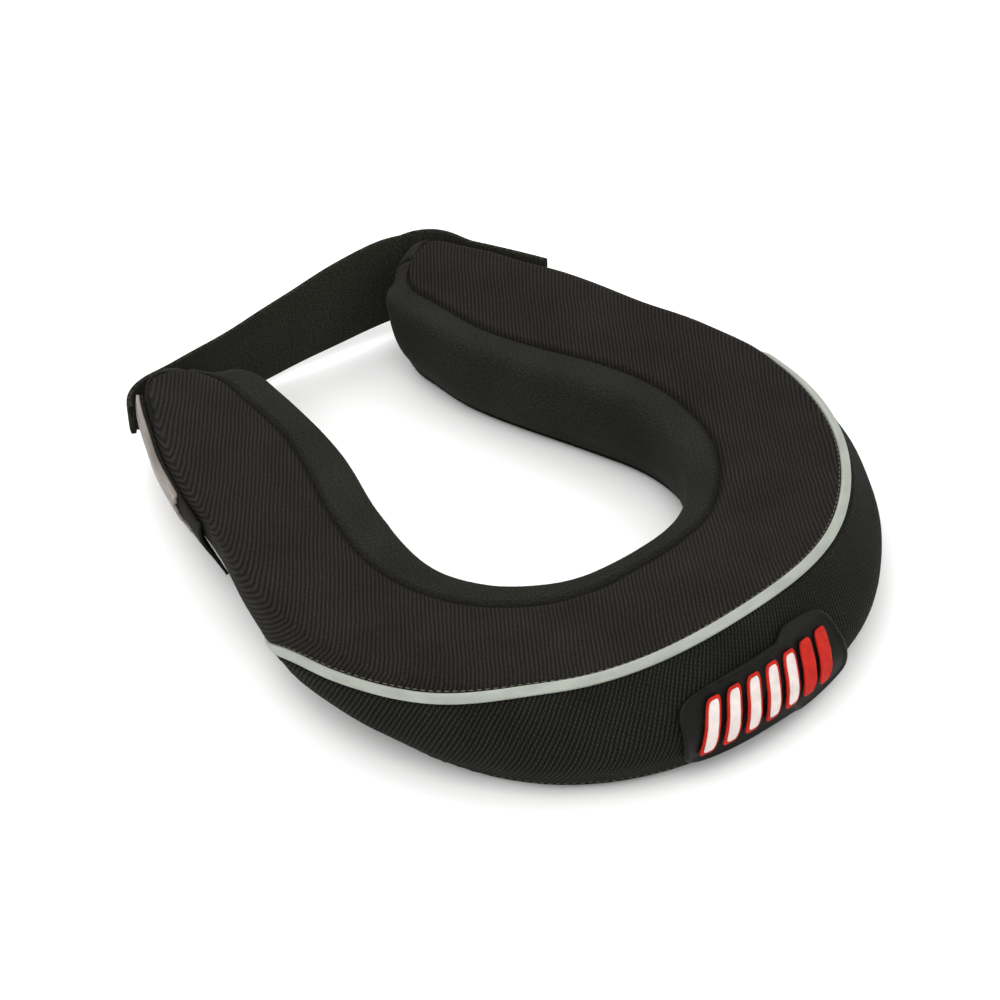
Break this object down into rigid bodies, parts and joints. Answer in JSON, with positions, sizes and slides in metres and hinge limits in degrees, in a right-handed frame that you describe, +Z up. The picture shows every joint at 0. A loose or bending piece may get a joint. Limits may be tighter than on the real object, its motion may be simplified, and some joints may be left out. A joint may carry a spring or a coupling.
{
  "type": "foam neck brace",
  "caption": "Horseshoe foam neck collar with a knitted mesh top, smooth neck wall, nape band with rubber label and a throat strap with hook-and-loop end.",
  "frame": {"origin": "under the middle of the collar's box, on the surface that it lies on", "axes": "+Z up, away from the surface; +Y from the nape towards the throat; +X towards the arm that the strap is sewn to"},
  "size_m": [0.2696, 0.318, 0.0511],
  "materials": {
    "foam": "closed-cell foam",
    "smooth_fabric": "smooth black neoprene face",
    "ribbed_mesh": "knitted mesh with fine parallel ribs",
    "twill_mesh": "knitted mesh with a diagonal grain",
    "reflective_tape": "grey reflective piping",
    "label_rubber": "moulded rubber",
    "loop_felt": "brushed loop fabric",
    "hook_tape": "fine plastic hooks"
  },
  "bodies": {
    "root": {"foam_core": "foam", "base_cover": "smooth_fabric", "neck_cover": "smooth_fabric", "top_cover": "ribbed_mesh", "nape_band": "twill_mesh", "piping": "reflective_tape", "nape_label": "label_rubber", "throat_strap": "loop_felt", "hook_backing": "smooth_fabric", "hook_patch": "hook_tape"}
  },
  "joints": []
}
